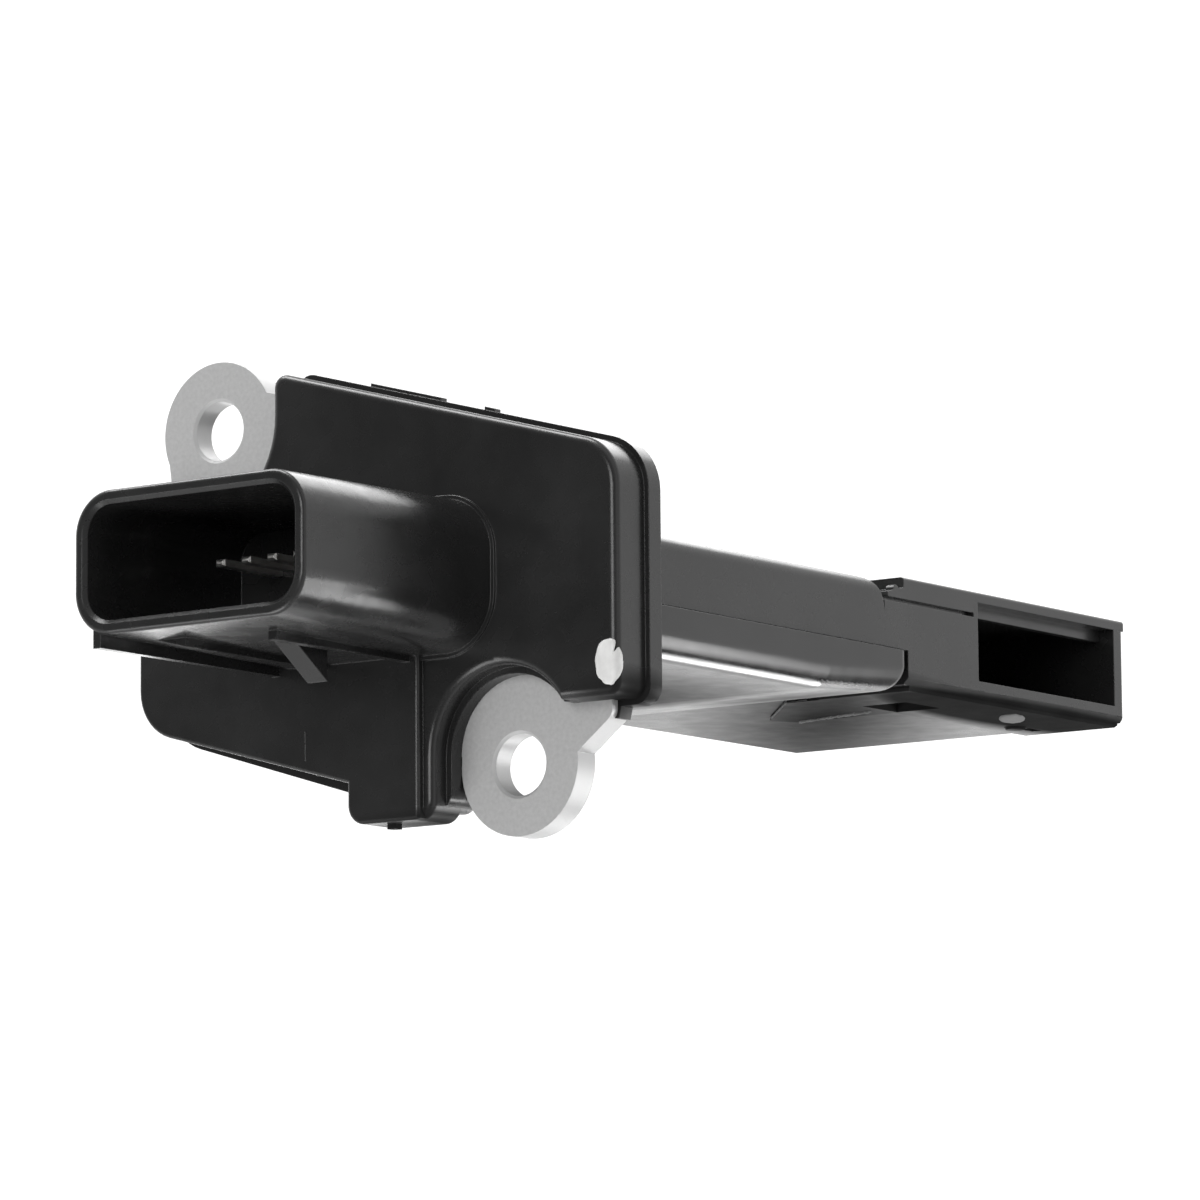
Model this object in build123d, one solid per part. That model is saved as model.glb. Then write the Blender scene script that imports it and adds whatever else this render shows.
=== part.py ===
from build123d import *
import os
from math import cos, radians, sin, sqrt, tan

# Plug-in mass airflow sensor, millimetres.
# The origin lies midway between the two screw holes, on the face that seats on the duct.
# +Z points out of the duct, along the connector; the probe hangs down -Z.
# X is the wide direction of the probe, and the air enters the bypass on its +X side.

# Screw holes and the metal mounting plate
hole_spacing = 46.0
hole_angle = 44.3
screw_bore = 5.3
bore_chamfer = 0.25
ear_radius = 6.12
plate_thickness = 2.5
plate_inset = 1.9
plate_side_inset = 1.0
plate_right = 26.2
plate_window_length = 31.0
plate_window_width = 9.0
neck_corner_radius = 1.2
neck_angle = 38.0
far_neck_high_angle = 28.0
far_neck_low_angle = 24.0
near_neck_angle = 6.0

# Moulded body that covers the plate
body_left = -22.2
body_right = 29.1
body_top_y = 19.95
body_low_edge_y = -11.3
body_slant = 15.3
body_height = 5.8
rim_height = 1.7
rim_reach = 0.5
ledge_height = 3.9
face_edge_radius = 0.7
large_corner_radius = 4.5
small_corner_radius = 1.1
low_corner_y = -10.5
foot_left = 1.0
foot_bottom = -20.5
foot_corner_radius = 1.7
foot_rim_lift = 0.9
rim_flare = 0.7
foot_round_share = 0.8
far_pocket_radius = 8.7
near_pocket_radius = 7.15
near_pocket_shift_x = 0.42
near_pocket_shift_y = 1.05
pocket_step = 0.6
rim_pocket_step = 0.25
far_arc_angle = -45.0
near_arc_angle = 110.0
block_rise = 0.7
block_right = 8.7
block_top = 0.0
lug_x = 25.9
lug_width = 2.0
lug_tip_width = 0.8
lug_root = 1.0
lug_drop = 1.5
lug_height = 1.7
gate_width = 0.9
gate_drop = 0.45
gate_x = 4.7
gate_z = 4.6
flash_rise = 0.3
flash_height = 0.8
long_flash = (-0.7, 7.0)
short_flash = (11.7, 12.8)

# Connector shroud
connector_x = 3.35
connector_y = 0.1
mouth_z = 30.7
mouth_width = 24.6
mouth_depth = 12.2
mouth_corner_radius = 3.7
shroud_draft = 0.6
shroud_root_radius = 5.0
shroud_wall = 1.2
shroud_floor_z = 10.0
mouth_edge_radius = 0.4
socket_edge_chamfer = 0.35
collar_height = 0.25
collar_reach = 0.3

# Guide rails and lock ramp under the shroud
outer_rail_x = -6.75
outer_rail_width = 0.8
outer_rail_drop = 1.05
wedge_rail_x = -1.0
wedge_rail_width = 3.6
wedge_rail_drop = 0.9
wedge_rail_start = 25.6
inner_rail_x = 7.4
inner_rail_width = 0.9
inner_rail_drop = 0.35
inner_rail_start = 24.5
ramp_x = 4.45
ramp_width = 2.1
ramp_start = 19.6
ramp_length = 4.8
ramp_drop = 3.3

# Terminals
terminal_count = 6
terminal_pitch = 2.8
terminal_width = 1.0
terminal_thickness = 0.6
terminal_tip_z = 18.0
terminal_point = 0.2
terminal_y = 1.3
terminal_foot = 1.8

# Stem with the seal groove
stem_half_width = 20.6
stem_half_depth = 6.9
stem_corner_radius = 4.0
stem_length = 9.5
groove_top = 3.0
groove_width = 3.6
groove_depth = 1.4
seal_height = 3.2
seal_squeeze = 0.55
seal_bevel = 0.8

# Probe arm
probe_half_width = 19.4
arm_top_y = 5.5
arm_corner_radius = 1.4
arm_split_y = -0.75
arm_end_z = -49.4
arm_end_radius = 3.2

# Module cover, glued under the arm
cover_overhang = 0.45
cover_bottom_y = -5.45
cover_end_z = -52.7
cover_slope_z = -40.0
cover_end_rise = 0.95
cover_edge_radius = 2.3
cover_corner_radius = 1.2
cover_wall = 1.35
cover_rim_width = 2.2
cover_gap = 0.5
bead_width = 1.2
bead_inset = 0.2
bead_height = 0.15

# Module cavity in the arm
cavity_half_width = 16.0
cavity_top_y = 3.6
cavity_start_z = -12.0
cavity_end_z = -44.5
cavity_corner_radius = 1.0

# Bypass block at the tip
tip_z = -91.0
tip_top_y = 6.0
tip_under_y = -3.85
tip_corner_radius = 0.6
inlet_low_z = -89.2
inlet_high_z = -65.1
inlet_floor_y = -2.4
lid_skirt_y = 3.95
lid_plate = 1.0
lid_start_z = -50.0
lid_top_start_z = -52.6
lid_shoulder_y = 4.4
lid_step_z = -64.4
lid_edge_radius = 0.35
lid_lip_inset = 1.6
lid_lip_thickness = 0.9
lid_lip_drop = 1.1
lid_lip_gap = 0.1
lid_seam_height = 0.4
lid_seam_depth = 0.6
channel_far_x = -16.6
channel_low_radius = 9.0
channel_high_radius = 3.0
return_high_z = -54.0
return_low_z = -60.6
nose_x = -7.0
nose_z = -70.6
nose_radius = 4.0
throat_x = 14.8
throat_z = -68.8
outlet_left = 9.0
outlet_right = 13.8
outlet_high_z = -61.2
outlet_low_z = -67.0
outlet_margin = 1.2
pad_left = 8.3
pad_drop = 0.45
pad_end_gap = 0.4
bulge_left = -4.8
bulge_top_x = 4.2
bulge_high_z = -55.7
bulge_corner_z = -66.0
bulge_foot_x = -3.3
bulge_low_z = -68.3
bulge_drop = 0.3
pip_radius = 1.3
pip_tip_radius = 0.9
pip_root = 0.3
pip_drop = 0.25
pip_x = 11.4
pip_z = -83.9
notch_length = 2.4
notch_width = 1.1
notch_depth = 0.35
notch_gap = 0.3
latch_pin_radius = 0.42

# Sensing module
heat_plate_thickness = 1.2
heat_plate_margin = 0.6
board_thickness = 0.7
board_margin = 1.6
module_top_gap = 4.0
chip_side = 6.5
chip_height = 1.1
chip_x = -5.0
chip_shift = -2.0
driver_width = 4.0
driver_length = 5.0
driver_height = 0.9
driver_x = 6.0
driver_shift = -1.0
capacitor_shift = 7.0
capacitor_length = 2.0
capacitor_width = 1.25
capacitor_height = 0.9
capacitor_pitch = 3.2
capacitor_count = 6
ribbon_width = 0.4
ribbon_thickness = 0.12
ribbon_dip = 0.5
ribbon_bend_share = 0.3
ribbon_landing = 1.5
gel_depth = 0.45

# Sensing elements in the bypass
post_side = 0.6
post_reach = 4.6
post_y = 1.4
post_gap = 2.4
post_overlap = 0.8
hot_x = -4.6
cold_x = 0.6
thermistor_x = 5.8
element_radius = 0.3
element_end_gap = 0.15
lead_radius = 0.15
thermistor_radius = 0.7

# How far a cutter runs past what it cuts, and how close counts as the same place
over = 1.0
same = 0.01

near_hole = (hole_spacing / 2 * cos(radians(hole_angle)), -hole_spacing / 2 * sin(radians(hole_angle)))
far_hole = (-near_hole[0], -near_hole[1])
near_pocket = (near_hole[0] + near_pocket_shift_x, near_hole[1] + near_pocket_shift_y)
body_top_x = far_hole[0] + far_pocket_radius
slope = tan(radians(body_slant))
probe_width = 2 * probe_half_width
up = (0, 0, 1)
wide = (1, 0, 0)


def block(x0, x1, y0, y1, z0, z1):
    """A plain box between two corners."""
    size = (x1 - x0, y1 - y0, z1 - z0)
    centre = ((x0 + x1) / 2, (y0 + y1) / 2, (z0 + z1) / 2)
    return Pos(*centre) * Box(*size)


def nearest(shape, x, y):
    """The vertex of a flat face that lies nearest to a point."""
    return min(shape.vertices(), key=lambda v: (v.X - x) ** 2 + (v.Y - y) ** 2)


def on_circle(centre, radius, angle):
    """The point of a circle at an angle from +X."""
    return (centre[0] + radius * cos(radians(angle)), centre[1] + radius * sin(radians(angle)))


def rounded_box(width, depth, radius, z0, z1):
    """A prism on the Z axis with rounded upright edges."""
    return Pos(0, 0, z0) * extrude(RectangleRounded(width, depth, radius), z1 - z0, dir=up)


def side_prism(points, x0, x1):
    """A prism along X from an outline given as (y, z) points."""
    face = Plane.YZ * Polygon(*points, align=None)
    return Pos(x0, 0, 0) * extrude(face, x1 - x0, dir=wide)


def top_line(x):
    """Height of the slanting upper edge of the body at x."""
    return body_top_y - (x - body_top_x) * slope


def bottom_line(x):
    """Height of the slanting lower edge of the body at x."""
    return low_corner_y - (x - body_left) * slope


def body_outline(grow, near_radius, foot_lift=0.0, flare=0.0):
    """Outline of the moulded body, with the two round pockets for the ears.

    The foot may end higher, and the slanting lower edge may drop a little towards the foot.
    """
    left = body_left - grow
    right = body_right + grow
    low = body_low_edge_y - grow
    lift = grow / cos(radians(body_slant))
    far_radius = far_pocket_radius - grow
    corner_x = far_hole[0] + far_radius
    far_dx = left - far_hole[0]
    far_y = far_hole[1] - sqrt(far_radius ** 2 - far_dx ** 2)
    near_dy = low - near_pocket[1]
    near_x = near_pocket[0] + sqrt(near_radius ** 2 - near_dy ** 2)
    foot_x = near_pocket[0] - near_radius
    foot_low = foot_bottom + foot_lift
    foot_start = foot_left - grow
    top_left = (corner_x, top_line(corner_x) + lift)
    top_right = (right, top_line(right) + lift)
    low_left = (left, bottom_line(left) - lift)
    foot_top = (foot_start, bottom_line(foot_start) - lift - flare)
    foot_corner = (foot_start, foot_low)
    far_middle = on_circle(far_hole, far_radius, far_arc_angle)
    near_middle = on_circle(near_pocket, near_radius, near_arc_angle)
    edges = [
        Line(top_left, (corner_x, far_hole[1])),
        ThreePointArc((corner_x, far_hole[1]), far_middle, (left, far_y)),
        Line((left, far_y), low_left),
        Line(low_left, foot_top),
        Line(foot_top, foot_corner),
        Line(foot_corner, (foot_x, foot_low)),
        Line((foot_x, foot_low), (foot_x, near_pocket[1])),
        ThreePointArc((foot_x, near_pocket[1]), near_middle, (near_x, low)),
        Line((near_x, low), (right, low)),
        Line((right, low), top_right),
        Line(top_right, top_left),
    ]
    face = make_face(Wire(edges))
    small = small_corner_radius + grow
    large = large_corner_radius + grow
    foot = foot_corner_radius + grow
    short_foot = min(foot, foot_round_share * (foot_top[1] - foot_low))
    rounds = [(top_left, small), (top_right, large), (low_left, large), (foot_corner, short_foot),
              ((foot_x, foot_low), foot), ((right, low), small)]
    for corner, radius in rounds:
        face = fillet([nearest(face, *corner)], radius)
    return face


def plate_core():
    """Outline of the plate under the body, with the necks of both ears."""
    left = body_left + plate_side_inset
    far_high = on_circle(far_hole, ear_radius, far_neck_high_angle)
    far_low = on_circle(far_hole, ear_radius, far_neck_low_angle + 180)
    notch = on_circle(near_hole, ear_radius, near_neck_angle)
    foot_x = on_circle(near_hole, ear_radius, near_neck_angle + 180)[0]
    corner = (plate_right, notch[1] + (plate_right - notch[0]) * tan(radians(neck_angle)))
    face = Polygon(
        far_hole, far_low, (left, far_hole[1] - far_pocket_radius),
        (left, bottom_line(left) + plate_inset), (foot_x, bottom_line(foot_left) + plate_inset),
        (foot_x, near_hole[1]), near_hole, notch, corner,
        (plate_right, top_line(plate_right) - plate_inset),
        (body_top_x, top_line(body_top_x) - plate_inset), far_high, align=None)
    return fillet([nearest(face, *corner)], neck_corner_radius)


def screw_hole():
    """Cutter for one bore with a small chamfer at both faces."""
    wide_radius = screw_bore / 2 + bore_chamfer
    base = (Align.CENTER, Align.CENTER, Align.MIN)
    bore = Cylinder(screw_bore / 2, 3 * plate_thickness)
    upper = Cone(screw_bore / 2, wide_radius, bore_chamfer, align=base)
    upper = Pos(0, 0, plate_thickness - bore_chamfer) * upper
    lower = Cone(wide_radius, screw_bore / 2, bore_chamfer, align=base)
    return bore + upper + lower


def mounting_plate():
    """Stamped plate: two round ears on a core that the body is moulded around."""
    plate = extrude(plate_core(), plate_thickness, dir=up)
    for hole in (near_hole, far_hole):
        plate += Pos(hole[0], hole[1], plate_thickness / 2) * Cylinder(ear_radius, plate_thickness)
    slot = SlotOverall(plate_window_length, plate_window_width)
    window = extrude(slot, plate_thickness + 2 * over, dir=up)
    plate -= Pos(0, 0, -over) * window
    for hole in (near_hole, far_hole):
        plate -= Pos(*hole) * screw_hole()
    return plate


def raised_block():
    """Slightly higher part of the face, left of the near ear."""
    reach = 2 * (body_right - foot_bottom)
    region = Pos(block_right - reach / 2, block_top - reach / 2) * Rectangle(reach, reach)
    face = body_outline(0, near_pocket_radius) & region
    solid = extrude(face, body_height + block_rise - rim_height, dir=up)
    return fillet(solid.faces().sort_by(Axis.Z)[-1].edges(), block_rise / 2)


def edge_lug():
    """Small tapered lug that hangs over the edge of the plate."""
    face = Polygon((lug_x + lug_width / 2, body_low_edge_y + lug_root),
                   (lug_x - lug_width / 2, body_low_edge_y + lug_root),
                   (lug_x - lug_tip_width / 2, body_low_edge_y - lug_drop),
                   (lug_x + lug_tip_width / 2, body_low_edge_y - lug_drop), align=None)
    return extrude(face, lug_height, dir=up)


def gate_nub():
    """Remains of the moulding gate under the foot."""
    return block(gate_x - gate_width / 2, gate_x + gate_width / 2, foot_bottom - gate_drop,
                 foot_bottom + gate_width, gate_z - gate_width / 2, gate_z + gate_width / 2)


def rim_flash(x0, x1):
    """A strip of flash that the mould left on the slanting top edge of the rim."""
    lift = rim_reach / cos(radians(body_slant))
    face = Polygon((x0, top_line(x0)), (x1, top_line(x1)),
                   (x1, top_line(x1) + lift + flash_rise), (x0, top_line(x0) + lift + flash_rise),
                   align=None)
    return extrude(face, flash_height, dir=up)


def body_shell():
    """The body over the plate: back rim, ledge round the near ear, face and raised block."""
    rim_pocket = near_pocket_radius - pocket_step - rim_pocket_step
    rim = extrude(body_outline(rim_reach, rim_pocket, foot_rim_lift, rim_flare), rim_height, dir=up)
    rim = rim + rim_flash(*long_flash) + rim_flash(*short_flash)
    ledge = extrude(body_outline(0, near_pocket_radius - pocket_step, foot_rim_lift), ledge_height, dir=up)
    upper = extrude(body_outline(0, near_pocket_radius), body_height - rim_height, dir=up)
    upper = fillet(upper.faces().sort_by(Axis.Z)[-1].edges(), face_edge_radius)
    return rim + ledge + Pos(0, 0, rim_height) * (upper + raised_block()) + edge_lug() + gate_nub()


def shroud_section(grow, radius):
    """Rounded outline of the connector shroud, grown by its draft."""
    return RectangleRounded(mouth_width + 2 * grow, mouth_depth + 2 * grow, radius)


def shroud():
    """Connector tube that widens a little towards the body, with its guide rails."""
    place = Pos(connector_x, connector_y)
    tube = loft([place * Pos(0, 0, rim_height) * shroud_section(shroud_draft, shroud_root_radius),
                 place * Pos(0, 0, mouth_z) * shroud_section(0, mouth_corner_radius)])
    tube = fillet(tube.faces().sort_by(Axis.Z)[-1].edges(), mouth_edge_radius)
    collar_section = shroud_section(shroud_draft + collar_reach, shroud_root_radius + collar_reach)
    collar = place * Pos(0, 0, rim_height) * extrude(
        collar_section, body_height + collar_height - rim_height, dir=up)
    return tube + collar + guide_rails() + lock_ramp()


def under_shroud():
    """Level of the flat underside of the shroud at its mouth."""
    return connector_y - mouth_depth / 2


def guide_rails():
    """Three keying rails that run along the underside of the shroud."""
    low = under_shroud()
    root = low + shroud_wall / 2
    outer = block(outer_rail_x - outer_rail_width / 2, outer_rail_x + outer_rail_width / 2,
                  low - outer_rail_drop, root, body_height, mouth_z - mouth_edge_radius)
    inner = block(inner_rail_x - inner_rail_width / 2, inner_rail_x + inner_rail_width / 2,
                  low - inner_rail_drop - shroud_draft, root, body_height, inner_rail_start)
    wedge_face = Polygon((wedge_rail_x, root), (wedge_rail_x - wedge_rail_width, root),
                         (wedge_rail_x - wedge_rail_width, low), (wedge_rail_x, low - wedge_rail_drop),
                         align=None)
    wedge = Pos(0, 0, body_height) * extrude(wedge_face, wedge_rail_start - body_height, dir=up)
    return outer + inner + wedge


def lock_ramp():
    """Ramp that the latch of the plug rides over."""
    low = under_shroud()
    root = low + shroud_wall / 2
    ramp_end = ramp_start - ramp_length
    outline = [(root, ramp_start), (low, ramp_start), (low - ramp_drop, ramp_end), (root, ramp_end)]
    return side_prism(outline, ramp_x - ramp_width / 2, ramp_x + ramp_width / 2)


def socket():
    """The hollow of the connector, with a small chamfer at its mouth."""
    width = mouth_width - 2 * shroud_wall
    depth = mouth_depth - 2 * shroud_wall
    radius = mouth_corner_radius - shroud_wall
    hollow = rounded_box(width, depth, radius, shroud_floor_z, mouth_z + over)
    flare = loft([Pos(0, 0, mouth_z - socket_edge_chamfer) * RectangleRounded(width, depth, radius),
                  Pos(0, 0, mouth_z) * RectangleRounded(width + 2 * socket_edge_chamfer,
                                                       depth + 2 * socket_edge_chamfer,
                                                       radius + socket_edge_chamfer)])
    return Pos(connector_x, connector_y) * (hollow + flare)


def stem():
    """Stem that fills the hole of the duct, with the groove of the seal ring."""
    solid = rounded_box(2 * stem_half_width, 2 * stem_half_depth, stem_corner_radius, -stem_length, 0)
    band = rounded_box(3 * stem_half_width, 3 * stem_half_depth, stem_corner_radius,
                       -groove_top - groove_width, -groove_top)
    return solid - (band - groove_core(-stem_length, 0))


def groove_core(z0, z1):
    """What is left of the stem at the bottom of the groove."""
    return rounded_box(2 * (stem_half_width - groove_depth), 2 * (stem_half_depth - groove_depth),
                       stem_corner_radius - groove_depth, z0, z1)


def seal_ring():
    """Rubber ring in the groove of the stem, standing a little proud of it."""
    side_gap = (groove_width - seal_height) / 2
    low = -groove_top - groove_width + side_gap
    high = -groove_top - side_gap
    outer = rounded_box(2 * (stem_half_width + seal_squeeze), 2 * (stem_half_depth + seal_squeeze),
                        stem_corner_radius + seal_squeeze, low, high)
    ends = outer.faces().sort_by(Axis.Z)
    outer = chamfer(ends[0].edges() + ends[-1].edges(), seal_bevel)
    return outer - groove_core(low - over, high + over)


def arm():
    """Upper half of the probe arm, one piece with the body and the tip."""
    profile = Pos(0, (arm_top_y + arm_split_y) / 2) * Rectangle(probe_width, arm_top_y - arm_split_y)
    profile = fillet([v for v in profile.vertices() if v.Y > 0], arm_corner_radius)
    solid = Pos(0, 0, arm_end_z) * extrude(profile, -arm_end_z - stem_length, dir=up)
    corner = block(-probe_width, probe_width, arm_top_y - arm_end_radius, arm_top_y + over,
                   arm_end_z - over, arm_end_z + arm_end_radius)
    round_edge = Pos(0, arm_top_y - arm_end_radius, arm_end_z + arm_end_radius) * Rot(0, 90, 0) * Cylinder(
        arm_end_radius, 3 * probe_width)
    return solid - (corner - round_edge)


def module_cavity():
    """Cavity in the underside of the arm that takes the sensing module."""
    length = cavity_start_z - cavity_end_z
    face = Plane.XZ * RectangleRounded(2 * cavity_half_width, length, cavity_corner_radius)
    place = Pos(0, arm_split_y - over, (cavity_start_z + cavity_end_z) / 2)
    return place * extrude(face, cavity_top_y - arm_split_y + over, dir=(0, 1, 0))


def channel():
    """Air path: in at +X, round the nose of the divider and back to the outlet."""
    well_left = outlet_left - outlet_margin
    open_x = 2 * probe_half_width
    outline = Polygon(
        (open_x, inlet_low_z), (open_x, inlet_high_z), (probe_half_width, inlet_high_z),
        (throat_x, throat_z), (nose_x, nose_z), (nose_x, return_low_z),
        (well_left, return_low_z), (well_left, outlet_low_z), (throat_x, outlet_low_z),
        (throat_x, return_high_z), (channel_far_x, return_high_z), (channel_far_x, inlet_low_z),
        align=None)
    rounds = [((nose_x, nose_z), nose_radius), ((nose_x, return_low_z), nose_radius),
              ((channel_far_x, inlet_low_z), channel_low_radius),
              ((channel_far_x, return_high_z), channel_high_radius)]
    for corner, radius in rounds:
        outline = fillet([nearest(outline, *corner)], radius)
    height = tip_top_y - inlet_floor_y
    solid = extrude(Rot(90, 0, 0) * outline, height, dir=(0, 1, 0))
    return Pos(0, inlet_floor_y, 0) * solid


def throat_line(x):
    """Height of the slanting wall between the inlet and the throat at x."""
    share = (probe_half_width - x) / (probe_half_width - throat_x)
    return inlet_high_z + share * (throat_z - inlet_high_z)


def lid_outline():
    """Side view of the bypass lid: a thin plate with a deeper stretch next to the arm."""
    plate_y = tip_top_y - lid_plate
    return [(tip_top_y, lid_top_start_z), (plate_y, lid_top_start_z),
            (lid_shoulder_y, lid_start_z), (lid_skirt_y, lid_start_z),
            (lid_skirt_y, lid_step_z), (plate_y, lid_step_z), (plate_y, tip_z), (tip_top_y, tip_z)]


def bypass_cover():
    """Lid that closes the bypass, with a lip behind the inlet and two locating pips."""
    lid = side_prism(lid_outline(), -probe_half_width, probe_half_width)
    top_edges = [e for e in lid.edges().filter_by(Axis.Z) if e.center().Y > tip_top_y - same]
    lid = fillet(top_edges, lid_edge_radius)
    plate_y = tip_top_y - lid_plate
    lip_x = probe_half_width - lid_lip_inset - lid_lip_thickness
    lip = block(lip_x, lip_x + lid_lip_thickness, plate_y - lid_lip_drop, plate_y + lid_plate / 2,
                inlet_low_z + lid_lip_gap, throat_line(lip_x) - lid_lip_gap)
    pin_y = (lid_shoulder_y + plate_y) / 2
    pin_z = (lid_start_z + lid_top_start_z) / 2
    pins = [Pos(side * (probe_half_width - latch_pin_radius), pin_y, pin_z) * Rot(0, 90, 0)
            * Cylinder(latch_pin_radius, 2 * latch_pin_radius) for side in (-1, 1)]
    return lid + lip + pins[0] + pins[1]


def tip_block():
    """Outside of the bypass block, below the lid."""
    plate_y = tip_top_y - lid_plate
    start_z = cover_end_z - cover_gap
    solid = block(-probe_half_width, probe_half_width, tip_under_y, plate_y, tip_z, start_z)
    low_edges = [e for e in solid.edges().filter_by(Axis.Z) if e.center().Y < tip_under_y + same]
    solid = chamfer(low_edges, tip_corner_radius)
    upright = [e for e in solid.edges().filter_by(Axis.Y) if e.center().Z < tip_z + same]
    solid = fillet(upright, tip_corner_radius)
    step = block(-probe_width, probe_width, lid_skirt_y, tip_top_y, lid_step_z, 0)
    bridge = block(-probe_half_width, probe_half_width, arm_split_y, lid_skirt_y, start_z - over, arm_end_z)
    return solid - step + bridge - lid_seams()


def lid_seams():
    """Cutters for the shadow line under the skirt of the lid, on both sides."""
    root = probe_half_width - lid_seam_depth
    seam = block(root, probe_half_width + over, lid_skirt_y - lid_seam_height, lid_skirt_y + over,
                 lid_step_z, arm_end_z)
    return seam + mirror(seam, Plane.YZ)


def drain_notch():
    """Cutter for the shallow notch beside the pip."""
    high = pip_z - pip_radius - notch_gap
    low_y = tip_under_y - pad_drop
    return block(pip_x - notch_width / 2, pip_x + notch_width / 2, low_y - over, low_y + notch_depth,
                 high - notch_length, high)


def underside_relief():
    """Raised pad, bulge over the bypass turn and a pip under the tip."""
    low = tip_under_y - pad_drop
    pad = block(pad_left, probe_half_width - tip_corner_radius, low, tip_under_y + pad_drop,
                tip_z + pad_end_gap, cover_end_z - 3 * cover_gap)
    pad = chamfer([e for e in pad.edges() if e.center().Y < low + same], pad_drop / 2)
    bulge_right = pad_left + over
    bulge_face = Polygon((bulge_right, bulge_high_z), (bulge_top_x, bulge_high_z),
                         (bulge_left, bulge_corner_z), (bulge_foot_x, bulge_low_z),
                         (bulge_right, bulge_low_z), align=None)
    bulge = Pos(0, tip_under_y - bulge_drop, 0) * extrude(
        Rot(90, 0, 0) * bulge_face, 2 * bulge_drop, dir=(0, 1, 0))
    pip = Pos(pip_x, low + pip_root, pip_z) * Rot(90, 0, 0) * Cone(
        pip_radius, pip_tip_radius, pip_drop + pip_root, align=(Align.CENTER, Align.CENTER, Align.MIN))
    return pad + bulge + pip - drain_notch()


def tip():
    """Bypass block: floor, side walls, divider and outlet, open on top under the lid."""
    outlet = block(outlet_left, outlet_right, 2 * tip_under_y, inlet_floor_y + over,
                   outlet_low_z, outlet_high_z)
    return tip_block() + underside_relief() - channel() - outlet


def cover_profile():
    """Side view of the module cover, from the stem to its sloping end."""
    top = arm_split_y - bead_height
    start = -stem_length - cover_gap
    return [(top, start), (top, cover_end_z), (cover_bottom_y + cover_end_rise, cover_end_z),
            (cover_bottom_y, cover_slope_z), (cover_bottom_y, start)]


def module_cover():
    """Dished cover that closes the module cavity from below."""
    half = probe_half_width + cover_overhang
    solid = side_prism(cover_profile(), -half, half)
    upright = [e for e in solid.edges().filter_by(Axis.Y) if e.center().Z < cover_end_z + same]
    solid = fillet(upright, cover_corner_radius)
    low = [e for e in solid.edges() if e.center().Y < cover_bottom_y + cover_end_rise + same
           and (abs(e.center().X) > half - cover_corner_radius or e.center().Z < cover_end_z + same)]
    solid = fillet(low, cover_edge_radius)
    length = cavity_start_z - cavity_end_z
    inner = half - cover_rim_width
    face = Plane.XZ * RectangleRounded(2 * inner, length, cavity_corner_radius)
    depth = arm_split_y - cover_bottom_y - cover_wall
    hollow = Pos(0, cover_bottom_y + cover_wall, (cavity_start_z + cavity_end_z) / 2) * extrude(
        face, depth, dir=(0, 1, 0))
    return solid - hollow


def cover_adhesive():
    """Bead of adhesive between the arm and its cover."""
    outer_x = probe_half_width - bead_inset
    outer_high = -stem_length - cover_gap - bead_inset
    outer_low = cover_end_z + bead_inset
    centre_z = (outer_high + outer_low) / 2
    length = outer_high - outer_low
    outer = Plane.XZ * RectangleRounded(2 * outer_x, length, cavity_corner_radius)
    inner = Plane.XZ * RectangleRounded(2 * (outer_x - bead_width), length - 2 * bead_width,
                                        cavity_corner_radius / 2)
    hole = Pos(0, -over, 0) * extrude(inner, bead_height + 2 * over, dir=(0, 1, 0))
    ring = extrude(outer, bead_height, dir=(0, 1, 0)) - hole
    return Pos(0, arm_split_y - bead_height, centre_z) * ring


def board_ends():
    """The two ends of the circuit board along Z."""
    return (cavity_start_z - module_top_gap, cavity_end_z + heat_plate_margin + board_margin)


def heat_plate():
    """Metal plate that carries the board and takes up its heat."""
    high, low = board_ends()
    half = cavity_half_width - heat_plate_margin
    return block(-half, half, cavity_top_y - heat_plate_thickness, cavity_top_y,
                 low - board_margin + heat_plate_margin / 2, high + board_margin)


def board_face_y():
    """Level of the component side of the board."""
    return cavity_top_y - heat_plate_thickness - board_thickness


def circuit_board():
    """Ceramic board on the heat plate."""
    high, low = board_ends()
    half = cavity_half_width - heat_plate_margin - board_margin
    return block(-half, half, board_face_y(), cavity_top_y - heat_plate_thickness, low, high)


def on_board(x, z, width, length, height):
    """A component that lies on the board."""
    y = board_face_y()
    return block(x - width / 2, x + width / 2, y - height, y, z - length / 2, z + length / 2)


def board_middle():
    """Middle of the board along Z."""
    high, low = board_ends()
    return (high + low) / 2


def signal_chip():
    """Main signal chip in its flat case, with a chamfered rim."""
    chip = on_board(chip_x, board_middle() + chip_shift, chip_side, chip_side, chip_height)
    return chamfer(chip.faces().sort_by(Axis.Y)[0].edges(), chip_height / 4)


def heater_driver():
    """Transistor that feeds the hot element."""
    chip = on_board(driver_x, board_middle() + driver_shift, driver_width, driver_length, driver_height)
    return chamfer(chip.faces().sort_by(Axis.Y)[0].edges(), driver_height / 4)


def capacitors():
    """Row of chip capacitors along the terminal side of the board."""
    first = -capacitor_pitch * (capacitor_count - 1) / 2
    z = board_middle() + capacitor_shift
    row = [on_board(first + capacitor_pitch * i, z, capacitor_width, capacitor_length, capacitor_height)
           for i in range(capacitor_count)]
    return Compound(children=row)


def terminal_xs():
    """Places of the terminals across the connector."""
    first = connector_x - terminal_pitch * (terminal_count - 1) / 2
    return [first + terminal_pitch * i for i in range(terminal_count)]


def terminal(x):
    """One flat terminal from the connector down into the module cavity."""
    blade = block(x - terminal_width / 2, x + terminal_width / 2, terminal_y - terminal_thickness / 2,
                  terminal_y + terminal_thickness / 2, cavity_start_z - terminal_foot, terminal_tip_z)
    return chamfer(blade.faces().sort_by(Axis.Z)[-1].edges(), terminal_point)


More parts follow.
